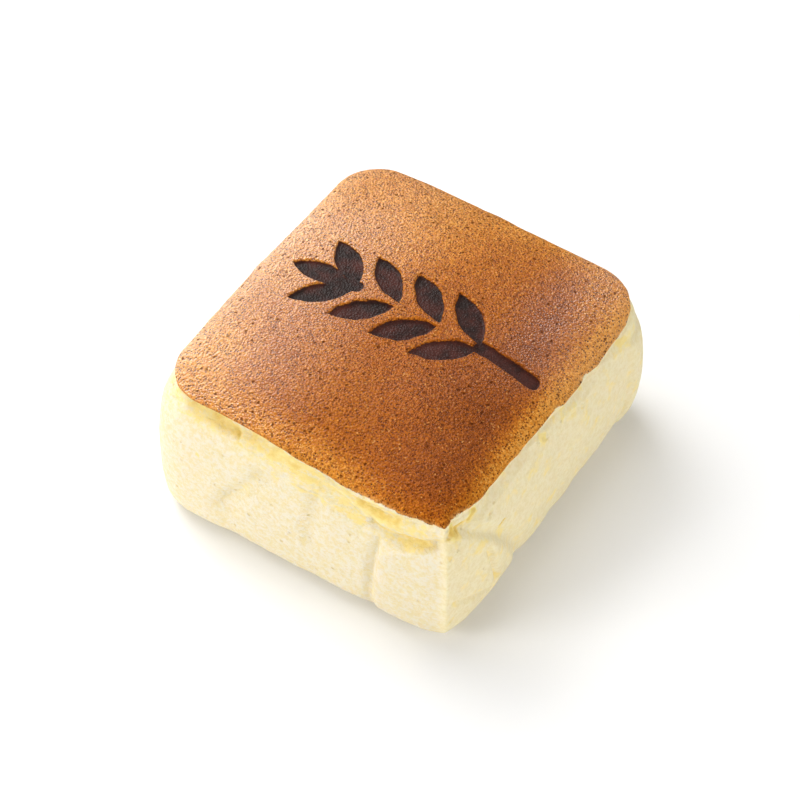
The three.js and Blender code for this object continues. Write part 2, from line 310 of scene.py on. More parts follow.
    def outline(self, turn: Array, half_x: Array, half_y: Array, radii: Array) -> tuple[Array, Array]:
        """Points and outward normals on rounded rectangles.

        Args:
            turn: Places round the cake.
            half_x: Half width of the rectangle for each place.
            half_y: Half depth of the rectangle for each place.
            radii: Corner radii, one row for each corner and one column for each place.

        Returns:
            The points and the normals, one per row.
        """
        side = np.floor(turn).astype(int) % 4
        following = (side + 1) % 4
        each = np.arange(len(turn))
        first_arc = radii[side, each] * math.pi / 4
        last_arc = radii[following, each] * math.pi / 4
        rounded = radii[side, each] + radii[following, each]
        straight = np.where(side % 2 == 0, 2 * half_y, 2 * half_x) - rounded
        run = (turn - np.floor(turn)) * (first_arc + straight + last_arc)
        early, late = run < first_arc, run > first_arc + straight
        corner = np.where(late, following, side)
        radius = np.maximum(radii[corner, each], TINY)
        facing = side * math.pi / 2
        angle = facing + np.where(early, run / radius - math.pi / 4, 0)
        angle = angle + np.where(late, (run - first_arc - straight) / radius, 0)
        normal = np.stack([np.cos(angle), np.sin(angle)], 1)
        sign = np.array([[1, -1], [1, 1], [-1, 1], [-1, -1]])[corner]
        along = np.stack([-np.sin(facing), np.cos(facing)], 1)
        slide = np.where(early | late, 0, run - first_arc)
        centre = sign * np.stack([half_x - radius, half_y - radius], 1)
        return centre + normal * radius[:, None] + along * slide[:, None], normal

    def reach_from(self, corner: Corner, turn: Array) -> Array:
        """Distance along the wall from the middle of a corner in millimetres, negative before it."""
        turns = (turn - corner.value + 6) % 4 - 2
        wall = np.where((turns > 0) == (corner.value % 2 == 0), self.depth, self.width)
        return turns * (wall - (2 - math.pi / 2) * self.rim_radius[corner.value])

    def panel_inside(self, panel: CornerPanel, turn: Array, height: Array) -> Array:
        """How far inside a corner panel's edge places of the wall are.

        Args:
            panel: The panel.
            turn: Places round the cake.
            height: Heights on the wall.

        Returns:
            Distances in millimetres, negative outside the panel.
        """
        reach = self.reach_from(panel.corner, turn)
        lean = (height / self.rim_at(turn)) ** 2
        sides = np.minimum(reach + panel.before - panel.before_lean * lean,
                           self.panel_after_steepness * (panel.after - panel.after_lean * lean - reach))
        top = panel.top + np.where(reach < 0, panel.top_slope, panel.after_rise) * reach
        return np.minimum(sides, top - height)

    def folds(self, turn: Array, height: Array) -> Array:
        """How deep in a crease of the paper places of the wall are.

        Args:
            turn: Places round the cake.
            height: Heights on the wall.

        Returns:
            Depths in millimetres.
        """
        depth = np.zeros(len(turn))
        for panel in self.panels:
            depth += panel.fold * bell(self.panel_inside(panel, turn, height), self.panel_fold_width)
        for crease in self.creases:
            depth += crease.depth * crease.share(self.reach_from(crease.corner, turn), height)
        return depth * smooth_step(height, 0, self.panel_fade / 2)

    def groove(self, turn: Array, height: Array) -> Array:
        """Depth of the groove that the crumb left under the crust when it shrank."""
        from_groove = self.rim_at(turn) - height - self.around(self.groove_drop, turn)
        return self.around(self.groove_depth, turn) * bell(from_groove, self.groove_width)

    def pinch(self, turn: Array, height: Array) -> Array:
        """How far the walls are pressed flat beside the front right corner, which leaves a sharp ridge.

        Args:
            turn: Places round the cake.
            height: Heights on the wall.

        Returns:
            Depths in millimetres.
        """
        away = np.abs(self.reach_from(Corner.FRONT_RIGHT, turn))
        rise = 1 - np.clip(1 - away / self.pinch_peak, 0, 1) ** 2
        fall = 1 - smooth_step(away, self.pinch_peak, self.pinch_reach)
        low, high = self.ridge_reach
        share = smooth_step(height, low, low + self.pinch_foot_rise)
        share = self.pinch_foot_share + (1 - self.pinch_foot_share) * share
        ridge = self.ridge_raised * bell(away, self.ridge_width)
        ridge *= smooth_step(height, high, high - self.ridge_top_fade)
        return (self.pinch_depth * rise * fall - ridge) * share

    def torn(self, turn: Array, height: Array, stray: Array) -> tuple[Array, Array]:
        """How torn the crumb is at places of the wall.

        Args:
            turn: Places round the cake.
            height: Heights on the wall.
            stray: How far the tears stray from their lines there, in millimetres.

        Returns:
            Depths in millimetres and shares of egg yellow, which in the tears is partly painted shade.
        """
        reach, drop = self.reach_from(Corner.FRONT_RIGHT, turn), self.rim_at(turn) - height + stray
        depth, yolk_and_shade = np.zeros(len(turn)), np.zeros(len(turn))
        for tear in self.tears:
            share = tear.share(reach, drop)
            depth = np.where(np.abs(tear.depth * share) > np.abs(depth), tear.depth * share, depth)
            yolk_and_shade = np.maximum(yolk_and_shade, tear.yolk_and_shade * share)
        return depth, yolk_and_shade

    def wall_offset(self, turn: Array, height: Array) -> Array:
        """Outward offset of the wall from the block that the cake is worked out from.

        Args:
            turn: Places round the cake.
            height: Heights on the wall.

        Returns:
            Offsets in millimetres, negative inwards.
        """
        rim = self.rim_at(turn)
        rounding = self.around(self.foot_rounding, turn)
        belly = self.belly_share * rim
        under = np.clip(rounding - height, 0, None)
        foot = rounding - np.sqrt(np.clip(rounding**2 - under**2, 0, None))
        taper = self.around(self.foot_taper, turn) * np.clip(1 - height / belly, 0, 1) ** 2
        rise = np.clip((height - belly) / (rim - belly), 0, 1)
        shoulder = self.around(self.shoulder_inset, turn) * rise**self.shoulder_curve
        offset = -foot - taper - shoulder - self.groove(turn, height) - self.folds(turn, height)
        offset -= self.pinch(turn, height)
        for panel in self.panels:
            lift = panel.raised * smooth_step(height, 0, self.panel_fade)
            offset += lift * smooth_step(self.panel_inside(panel, turn, height), 0, panel.edge)
        return offset

    def wall(self, turn: Array, level: Array) -> Array:
        """Points on the wall.

        Args:
            turn: Places round the cake.
            level: Levels from the foot to the rim.

        Returns:
            The points in millimetres, one per row.
        """
        height = level * self.rim_at(turn)
        foot, rim = np.array(self.foot_radius)[:, None], np.array(self.rim_radius)[:, None]
        halves = np.full(len(turn), self.width / 2), np.full(len(turn), self.depth / 2)
        point, normal = self.outline(turn, *halves, foot + (rim - foot) * level)
        point = point + normal * self.wall_offset(turn, height)[:, None]
        return np.column_stack([point, height])

    def crust_relief(self, x: Array, y: Array) -> Array:
        """Swells and creases of the crust, and the shallow dish that the iron left.

        Args:
            x: First coordinates of the places.
            y: Second coordinates of the places.

        Returns:
            Heights in millimetres over the plain dome.
        """
        (middle_x, middle_y), (reach_x, reach_y) = self.dish_centre, self.dish_reach
        away = np.hypot((x - middle_x) / reach_x, (y - middle_y) / reach_y)
        relief = -self.dish_depth * bell(away, 1)
        for stroke in self.crust_strokes:
            relief -= stroke.depth * stroke.share(x, y)
        return relief

    def dome(self, turn: Array, ring: Array) -> Array:
        """Points on the domed top.

        Args:
            turn: Places round the cake.
            ring: Rings from the middle to the rim.

        Returns:
            The points in millimetres, one per row.
        """
        rim = self.rim_at(turn)
        round_share = 1 - ring**2
        radii = ring * (np.array(self.rim_radius)[:, None] * ring**2 + self.width / 2 * round_share)
        point, normal = self.outline(turn, self.width / 2 * ring, self.depth / 2 * ring, radii)
        pinch = self.pinch(turn, rim)
        inset = (self.wall_offset(turn, rim) + pinch) * ring**2 - pinch * ring**self.pinch_top_power
        point = point + normal * inset[:, None]
        base = np.mean(self.rim_height) * round_share + rim * ring**2
        rise = self.crown_rise * np.clip(1 - ring**self.dome_fullness, 0, 1) ** self.dome_shoulder
        relief = self.crust_relief(point[:, 0], point[:, 1]) * (1 - ring**self.relief_fade_power)
        return np.column_stack([point, base + rise + relief])


@dataclass(frozen=True)
class WheatEar:
    """The ear of wheat that an iron burnt into the crust, lying along X; millimetres."""

    tip: Point2 = (-46, 5)
    grain_half_length: float = 11.0
    grain_half_width: float = 4.2
    grain_angle: float = 0.7
    pairs: int = 4
    pitch: float = 15.5
    inner_gap: float = 1.1
    tip_gap: float = 3.0
    stalk_length: float = 19.0
    stalk_half_width: float = 2.6
    knot_half_width: float = 2.3
    depth: float = 1.0
    wall_run: float = 0.8
    wander: Grit = Grit(11, 0.35, 3.0)

    def grains(self) -> list[Point3]:
        """Middle and angle of every grain."""
        x, y = self.tip
        found = [(x + self.grain_half_length, y, 0.0)]
        spread = self.inner_gap + self.grain_half_length * math.sin(self.grain_angle)
        first = self.inner_end(0) - self.grain_half_length * math.cos(self.grain_angle)
        for pair in range(self.pairs):
            for hand in (-1, 1):
                found.append((first + pair * self.pitch, y + hand * spread, -hand * self.grain_angle))
        return found

    def inner_end(self, pair: int) -> float:
        """Where the grains of a pair end at the middle line."""
        return self.tip[0] + 2 * self.grain_half_length + self.tip_gap + pair * self.pitch

    def inside(self, x: Array, y: Array) -> Array:
        """How far inside the mark's outline points are.

        Args:
            x: First coordinates of the points.
            y: Second coordinates of the points.

        Returns:
            Distances in millimetres, negative outside.
        """
        slim = (self.grain_half_length**2 / self.grain_half_width - self.grain_half_width) / 2
        start = self.inner_end(self.pairs - 1) + self.inner_gap
        end = (start + self.stalk_length, self.tip[1])
        depth = self.stalk_half_width - stroke_distance(x, y, (start, self.tip[1]), end)
        knot = self.inner_end(0)
        from_knot = stroke_distance(x, y, (knot - 2 * self.tip_gap, self.tip[1]), (knot, self.tip[1]))
        depth = np.maximum(depth, self.knot_half_width - from_knot)
        for grain_x, grain_y, angle in self.grains():
            along = (x - grain_x) * math.cos(angle) + (y - grain_y) * math.sin(angle)
            across = (y - grain_y) * math.cos(angle) - (x - grain_x) * math.sin(angle)
            depth = np.maximum(depth, slim + self.grain_half_width - np.hypot(along, np.abs(across) + slim))
        return depth


def operation(name: str, swapped: bool = False) -> Callable[["Value", Any], "Value"]:
    """Make an operator of values.

    Args:
        name: Operation of the Math node that it adds.
        swapped: Whether the other value comes first.

    Returns:
        The operator.
    """

    def apply(value: "Value", other: Any) -> "Value":
        """Join two values, or a value and a number."""
        first, second = (other, value) if swapped else (value, other)
        return value.desk.add("ShaderNodeMath", {"operation": name}, {0: first, 1: second})

    return apply


@dataclass
class Value:
    """A number from a socket of a shader; an expression on values adds its Math nodes."""

    desk: "NodeDesk"
    socket: bpy.types.NodeSocket

    __add__ = operation("ADD")
    __radd__ = operation("ADD", True)
    __sub__ = operation("SUBTRACT")
    __rsub__ = operation("SUBTRACT", True)
    __mul__ = operation("MULTIPLY")
    __rmul__ = operation("MULTIPLY", True)
    maximum = operation("MAXIMUM")

    def step(self, low: float, high: float) -> "Value":
        """Rise from 0 at low to 1 at high with level ends; it falls where low is above high."""
        ends = {1: min(low, high), 2: max(low, high), 3: float(low > high), 4: float(low <= high)}
        return self.desk.add("ShaderNodeMapRange", {"interpolation_type": "SMOOTHSTEP"}, {0: self, **ends})


class NodeDesk:
    """Makes the nodes of one material."""

    COLOUR_MIX = {"data_type": "RGBA"}
    FACTOR, FIRST, SECOND, MIXED = 0, 6, 7, 2
    PORE_RAGGED = 0.3
    PORE_FULL = 0.4

    def __init__(self, name: str) -> None:
        """Start a material with no nodes.

        Args:
            name: Name of the material.
        """
        self.material = bpy.data.materials.new(name)
        self.material.use_nodes = True
        self.tree = self.material.node_tree
        self.tree.nodes.clear()

    def node(self, kind: str, settings: dict[str, Any], inputs: dict[int | str, Any]) -> bpy.types.Node:
        """Add a node.

        Args:
            kind: The node's type.
            settings: Its settings, which are set first.
            inputs: Values or links of its sockets, by name or place.

        Returns:
            The node.
        """
        node = self.tree.nodes.new(kind)
        for name, setting in settings.items():
            setattr(node, name, setting)
        for key, given in inputs.items():
            if isinstance(given, Value):
                self.tree.links.new(given.socket, node.inputs[key])
            elif isinstance(given, tuple) and len(given) == 3 and node.inputs[key].type == "RGBA":
                node.inputs[key].default_value = (*given, 1.0)
            else:
                node.inputs[key].default_value = given
        return node

    def add(
        self, kind: str, settings: dict[str, Any], inputs: dict[int | str, Any], output: int | str = 0
    ) -> Value:
        """Add a node and take one of its outputs, by name or place."""
        return Value(self, self.node(kind, settings, inputs).outputs[output])

    def finish(self, shader: Value) -> bpy.types.Material:
        """Give the material its shader."""
        self.node("ShaderNodeOutputMaterial", {}, {"Surface": shader})
        return self.material

    def place(self, stretch: Point3 = (1, 1, 1)) -> Value:
        """Object coordinates in millimetres; a small factor draws a pattern out along that axis."""
        factors = {0: self.add("ShaderNodeTexCoord", {}, {}, "Object"), 1: tuple(f / MM for f in stretch)}
        return self.add("ShaderNodeVectorMath", {"operation": "MULTIPLY"}, factors)

    def painted(self, name: str) -> Value:
        """A value that is painted on the mesh's points."""
        settings = {"attribute_type": "GEOMETRY", "attribute_name": name}
        return self.add("ShaderNodeAttribute", settings, {}, "Fac")

    def noise(self, place: Value, pitch: float, detail: float = 2.0, roughness: float = 0.5) -> Value:
        """Cloudy values about 0.5, with swells of the pitch in millimetres and finer layers on them."""
        sizes = {"Vector": place, "Scale": 1 / pitch, "Detail": detail, "Roughness": roughness}
        return self.add("ShaderNodeTexNoise", {}, sizes, "Fac")

    def cells(self, place: Value, pitch: float, output: str = "Distance") -> Value:
        """Distance from the nearest of scattered points as a share of the pitch, or its random colour."""
        sizes = {"Vector": place, "Scale": 1 / pitch, "Randomness": 1.0}
        return self.add("ShaderNodeTexVoronoi", {"feature": "F1"}, sizes, output)

    def grains(self, place: Value, pitch: float) -> Value:
        """Small patches of a mean size in millimetres, each with a random value from 0 to 1."""
        return self.add("ShaderNodeSeparateColor", {}, {0: self.cells(place, pitch, "Color")})

    def pores(self, place: Value, pitch: float, radius: float, share: float, soft: float = 0.6) -> Value:
        """Scattered pores.

        Args:
            place: Coordinates in millimetres.
            pitch: Mean distance between cells in millimetres.
            radius: Radius of a pore as a share of that distance.
            share: Share of the cells that have a pore.
            soft: How far in from its edge a pore reaches its full depth, as a share of the radius.

        Returns:
            1 in a pore and 0 around it.
        """
        chance = self.grains(place, pitch)
        ragged = self.cells(place, pitch) + self.PORE_RAGGED * (self.noise(place, pitch / 3, 1.0) - 0.5)
        chosen = chance.step(1 - share, 1 - self.PORE_FULL * share)
        return ragged.step(radius, radius * (1 - soft)) * chosen

    def mix(self, first: Any, second: Any, factor: Any) -> Value:
        """Blend two colours; the factor is the share of the second."""
        given = {self.FACTOR: factor, self.FIRST: first, self.SECOND: second}
        return self.add("ShaderNodeMix", self.COLOUR_MIX, given, self.MIXED)

    def ramp(self, value: Value, stops: tuple[tuple[float, Colour], ...]) -> Value:
        """Colour that follows a value through stops.

        Args:
            value: The value that is followed.
            stops: Values in rising order, each with its colour.

        Returns:
            The colour.
        """
        colour = stops[0][1]
        for (low, _), (high, tint) in zip(stops, stops[1:]):
            colour = self.mix(colour, tint, value.step(low, high))
        return colour

    def bump(self, height: Value, relief: float) -> Value:
        """Normal of a surface with fine relief, which is so many millimetres high where the height is 1."""
        return self.add("ShaderNodeBump", {}, {"Height": height, "Distance": relief * MM, "Strength": 1.0})


@dataclass(frozen=True)
class CrustFinish:
    """Browned skin of the top: granular and pitted, golden at the rim, darker where it baked longest."""

    pale: Colour = (0.86, 0.37, 0.06)
    golden: Colour = (0.69, 0.245, 0.022)
    brown: Colour = (0.53, 0.156, 0.011)
    dark: Colour = (0.42, 0.108, 0.008)
    umber: Colour = (0.30, 0.070, 0.006)
    cocoa: Colour = (0.19, 0.042, 0.005)
    # Dark brown of pores and pits, partly their own colour and partly painted shade; in the dimple bottoms it
    # is painted shade.
    pore: Colour = (0.13, 0.028, 0.004)
    # Paler colour of the crust's thin edge; sparse single grains also take it as painted glints.
    edge: Colour = (0.74, 0.36, 0.10)
    roughness: float = 0.7
    glaze: float = 0.5
    glaze_roughness: float = 0.58
    glaze_specular: float = 1.0
    grain_pitch: float = 0.55
    sand_pitch: float = 0.55
    bead_pitch: float = 0.72
    pore_pitch: float = 2.0
    pit_pitch: float = 7.0
    cloud_pitch: float = 14.0
    tint_stops: tuple[float, ...] = (-0.5, 0.0, 0.5, 1.0, 1.5, 2.2)
    cloud_tint: float = 0.5
    sand_tint: float = 0.9
    grain_tint: float = 1.2
    # How dark pores and pits are painted, partly as painted shade, and how strong the painted shade in the
    # dimple bottoms is.
    pore_dark: float = 0.85
    pit_dark: float = 0.9
    gap_painted_shade: float = 0.95
    relief: float = 0.6
    grain_relief: float = 0.5
    bead_relief: float = 1.2
    pore_relief: float = 0.6
    char_smoothing: float = 0.6

    def shade(self, desk: NodeDesk, burn: "BurnFinish") -> Value:
        """Make the crust's shader, with the burnt mark in it.

        Args:
            desk: Where its nodes are made.
            burn: Finish of the mark.

        Returns:
            The shader.
        """
        place = desk.place()
        grain = desk.noise(place, self.grain_pitch, 1.0, 0.4)
        sand = desk.grains(place, self.sand_pitch)
        cloud = desk.noise(place, self.cloud_pitch, 4, 0.6)
        beads = desk.cells(place, self.bead_pitch)
        pores = desk.pores(place, self.pore_pitch, 0.30, 0.4, 0.5)
        pits = desk.pores(place, self.pit_pitch, 0.10, 0.5)
        baked = desk.painted("browning") + self.cloud_tint * (cloud - 0.5)
        baked = baked + self.sand_tint * (sand - 0.5) + self.grain_tint * (0.5 - grain)
        tints = self.pale, self.golden, self.brown, self.dark, self.umber, self.cocoa
        skin = desk.ramp(baked, tuple(zip(self.tint_stops, tints)))
        rim = desk.painted("crust")
        # The thin strip at the crust's edge is paler; the rare grains mixed towards the edge colour are
        # painted glints.
        skin = desk.mix(skin, self.edge, 0.5 * rim.step(1.4, 0.1) + 0.4 * sand.step(0.03, 0.015))
        # Pores and pits are darkened partly as painted shade; the bottoms of the bump's dimples are darkened
        # as painted shade.
        holes_dark_and_shaded = (self.pore_dark * pores).maximum(self.pit_dark * pits)
        dimple_painted_shade = self.gap_painted_shade * beads.step(0.55, 0.25) * desk.grains(place, self.bead_pitch).step(0.25, 0.9)
        skin = desk.mix(skin, self.pore, holes_dark_and_shaded.maximum(dimple_painted_shade))
        edge = desk.painted("burn") + 0.5 * (desk.noise(place, 1.6) - 0.5)
        charred = edge.step(-0.12, 0.12)
        colour = desk.mix(skin, burn.colour(desk, place, edge), charred)
        height = self.grain_relief * grain + self.bead_relief * beads - self.pore_relief * pores - pits
        normal = desk.bump(height * (1 - self.char_smoothing * charred), self.relief)
        glaze = self.glaze * desk.painted("glaze") * (1 - holes_dark_and_shaded) * (1 - charred) + burn.glaze * charred
        shared = {"Base Color": colour, "Normal": normal}
        matte = {"Roughness": self.roughness, "Specular IOR Level": 0.0}
        shiny = {"Roughness": self.glaze_roughness, "Specular IOR Level": self.glaze_specular}
        dull = desk.add("ShaderNodeBsdfPrincipled", {}, shared | matte)
        glossy = desk.add("ShaderNodeBsdfPrincipled", {}, shared | shiny)
        return desk.add("ShaderNodeMixShader", {}, {0: glaze, 1: dull, 2: glossy})


@dataclass(frozen=True)
class BurnFinish:
    """Charred sugar of the mark: near black, with a red brown where it is thinner."""

    black: Colour = (0.021, 0.011, 0.009)
    red: Colour = (0.070, 0.019, 0.013)
    glaze: float = 0.09
    blotch_pitch: float = 11.0

    def colour(self, desk: NodeDesk, place: Value, edge: Value) -> Value:
        """Make the mark's colour.

        Args:
            desk: Where its nodes are made.
            place: Coordinates in millimetres.
            edge: How far inside the mark's outline a place is.

        Returns:
            The colour.
        """
        thin = desk.noise(place, self.blotch_pitch, 4, 0.65).step(0.38, 0.66)
        char = desk.mix(self.black, self.red, thin)
        return desk.mix(char, self.red, 0.5 * edge.step(0.5, 0.0))


@dataclass(frozen=True)
class CrumbFinish:
    """Pale, porous crumb of the walls: yellower under the crust, with egg-yellow specks."""

    cream: Colour = (0.885, 0.78, 0.52)
    # Crumb colour of the left walls: less yellow than the cream of the right wall.
    left_side: Colour = (0.845, 0.765, 0.60)
    smudge: Colour = (0.82, 0.69, 0.38)
    # Egg yellow of the crumb; folds and tears also take it as painted shade.
    yolk_and_shade: Colour = (0.93, 0.74, 0.27)
    speck: Colour = (0.78, 0.58, 0.20)
    # Deeper yellow of slits and cavities: partly the crumb's own yellow, partly painted shade in the hollows.
    deep: Colour = (0.78, 0.53, 0.11)
    roughness: float = 0.85
    specular: float = 0.15
    mottle_pitch: float = 1.5
    shred_pitch: float = 1.5
    lump_pitch: float = 5.0
    speck_pitch: float = 3.2
    relief: float = 1.0
    scatter_share: float = 0.25
    scatter_reach: Colour = (0.004, 0.0028, 0.0012)

    def shade(self, desk: NodeDesk) -> Value:
        """Make the crumb's shader.

        Args:
            desk: Where its nodes are made.

        Returns:
            The shader.
        """
        place = desk.place()
        mottle = desk.noise(desk.place((0.85, 0.85, 1.0)), self.mottle_pitch, 3, 0.8)
        curd = desk.noise(desk.place((0.6, 0.6, 1.0)), self.shred_pitch, 3, 0.65)
        lumps = desk.noise(place, self.lump_pitch, 3, 0.55)
        streaks = desk.noise(desk.place((0.22, 0.22, 1.2)), self.shred_pitch, 3, 0.6)
        specks = desk.pores(place, self.speck_pitch, 0.22, 0.35, 0.8)
        left_side = desk.painted("left_side")
        smudges = (0.8 + 0.2 * left_side) * mottle.step(0.38, 0.64)
        # Painted yellow: egg yellow in the bands, painted shade in the folds, and partly painted shade in the
        # tears.
        yolk_and_shade = desk.painted("yolk_and_shade")
        torn = yolk_and_shade.step(0.05, 0.4)
        shreds = torn * (2.0 * (streaks - 0.5) + 2.2 * (curd - 0.5))
        clumps = (0.8 - 0.5 * left_side) * lumps.step(0.45, 0.75)
        yellow = (yolk_and_shade + shreds + clumps).step(0.12, 1.0)
        colour = desk.mix(desk.mix(self.cream, self.left_side, left_side), self.smudge, smudges)
        colour = desk.mix(colour, self.yolk_and_shade, 0.85 * yellow)
        # A deeper yellow in slits and cavities, partly the crumb's own yellow and partly painted shade.
        colour = desk.mix(colour, self.deep, 0.7 * (yolk_and_shade + 1.6 * (curd - 0.5)).step(0.8, 1.6))
        colour = desk.mix(colour, self.speck, (0.3 + 0.3 * left_side) * specks)
        height = 0.5 * lumps - (0.3 + 0.5 * left_side) * mottle - 0.4 * specks
        height = height + torn * (0.8 * (streaks - 0.5) + 0.5 * (curd - 0.5))
        return desk.add("ShaderNodeBsdfPrincipled", {}, {
            "Base Color": colour, "Roughness": self.roughness, "Specular IOR Level": self.specular,
            "Normal": desk.bump(height, self.relief), "Subsurface Weight": self.scatter_share,
            "Subsurface Radius": self.scatter_reach, "Subsurface Scale": 1.0})


def sponge_material(crust: CrustFinish, crumb: CrumbFinish, burn: BurnFinish) -> bpy.types.Material:
    """Join the finishes along the edge of the crust.

    Args:
        crust: Finish of the top.
        crumb: Finish of the walls and the underside.
        burn: Finish of the mark in the top.

    Returns:
        The material.
    """
    desk = NodeDesk("baked_sponge")
    place = desk.place()
    ragged = desk.noise(place, 1.1, 3, 0.6) + 1.2 * desk.noise(place, 5, 2) - 1.1
    on_crust = (desk.painted("crust") + ragged).step(-0.15, 0.25)
    both = {0: on_crust, 1: crumb.shade(desk), 2: crust.shade(desk, burn)}
    return desk.finish(desk.add("ShaderNodeMixShader", {}, both))


@dataclass(frozen=True)
class Patch:
    """A patch of paint on the crust.

    It rises from 0 to its strength over each range that is given, of X, of Y or of the nearness of
    the front corner. A hump is a middle and a width, and the paint fades on both sides of it.
    """

    strength: float
    x: Point2 | None = None
    y: Point2 | None = None
    front: Point2 | None = None
    hump_x: Point2 | None = None
    hump_y: Point2 | None = None

    def at(self, x: Array, y: Array, front: Array) -> Array:
        """The paint at places.

        Args:
            x: First coordinates of the places.
            y: Second coordinates of the places.
            front: How near the front corner they are.

        Returns:
            The paint at each place.
        """
        paint = np.full(len(x), float(self.strength))
        for measure, rise in ((x, self.x), (y, self.y), (front, self.front)):
            if rise:
                paint *= smooth_step(measure, *rise)
        for measure, hump in ((x, self.hump_x), (y, self.hump_y)):
            if hump:
                paint *= bell(measure - hump[0], hump[1])
        return paint


@dataclass(frozen=True)
class CakePaint:
    """Where the crust is whole, browned and shiny, and how the crumb is tinted and yellowed.

    A loss of the crust is a reach along the wall, a width and a depth, and a band is a drop under
    the rim and a width. The left walls' tint starts and ends at turns, and the low band's yellow at
    reaches. Yellow in the folds is painted shade, and in the tears it is partly painted shade.
    """

    crust_edge: float = 1.2
    crust_losses: tuple[Point3, ...] = ((-27, 12, 1.6), (10, 5, 0.9), (67, 2, 1.0), (84, 3, 1.2))
    rim_width: tuple[Patch, ...] = (
        Patch(6.5), Patch(9, x=(-5, -45)), Patch(-1.8, x=(-5, -45), y=(-40, -55)),
        Patch(5, x=(30, 50), y=(0, 30)))
    rim_share: tuple[Patch, ...] = (Patch(1), Patch(-0.55, front=(0.55, 0.9)))
    golden_reach: Point2 = (2.2, 0.1)
    golden: tuple[Patch, ...] = (
        Patch(0.9), Patch(-0.45, front=(0.6, 0.9)), Patch(0.315, front=(0.6, 0.9), x=(48, 56)))
    browning: tuple[Patch, ...] = (
        Patch(0.05),
        Patch(1.2, front=(-0.6, 0.4)),
        Patch(0.6, front=(0.5, 0.95)),
        Patch(-0.25, front=(-0.55, -0.9)),
        Patch(0.4, hump_x=(42, 16), hump_y=(-15, 16)),
        Patch(-0.1, hump_x=(25, 18), hump_y=(15, 18)),
        Patch(-0.45, hump_x=(-6, 22), hump_y=(-38, 22)),
        Patch(0.3, hump_x=(38, 9), y=(0, 20)),
        Patch(0.15, x=(-20, 10), y=(-10, 20)),
    )
    cloud: Grit = Grit(21, 0.1, 40, 3)
    paling: tuple[Patch, ...] = (
        Patch(-0.05),
        Patch(-0.4, hump_x=(-52, 18), hump_y=(-45, 18)),
        Patch(-0.4, x=(-46, -58)),
        Patch(-0.5, x=(47, 55), y=(-60, -15)),
    )
    glaze: tuple[Patch, ...] = (
        Patch(0.26),
        Patch(1.3, x=(5, -45)),
        Patch(-0.65, x=(5, -45), y=(25, 50)),
        Patch(-0.325, x=(5, -45), y=(-42, -54)),
        Patch(0.6, x=(-44, -56)),
        Patch(0.8, x=(20, 45), y=(-10, 30)),
        Patch(0.3, y=(-48, -60), front=(0.8, 0.5)),
    )
    glaze_share: tuple[Patch, ...] = (
        Patch(1), Patch(-0.35, front=(0.3, 0.5)), Patch(-0.25, front=(-0.5, -0.9)),
        Patch(-0.39, front=(0.65, 0.9)))
    left_side_start: Point2 = (1.3, 2.0)
    left_side_end: Point2 = (4.0, 3.97)
    band_yolk: float = 0.1
    left_side_yolk: float = 0.35
    band: Point2 = (3.5, 4.0)
    low_yolk: float = 0.24
    low_band: Point2 = (9, 4.5)
    low_start: Point2 = (-80, -50)
    low_end: Point2 = (-4, -14)
    # Yellow painted into the folds as painted shade, and into the tears, where it is partly painted shade.
    fold_painted_shade: float = 0.12
    tear_yolk_and_shade: float = 0.9
    hidden_yolk: float = 0.3


class Part(Enum):
    """Parts of the block that are selected, by Blender's names."""

    EDGE = "EDGE"
    FACE = "FACE"


def runs_along(edge: bmesh.types.BMEdge, axis: int) -> bool:
    """Say whether an edge of the block runs along an axis."""
    run = edge.verts[1].co - edge.verts[0].co
    return abs(run[axis]) > ALONG * run.length


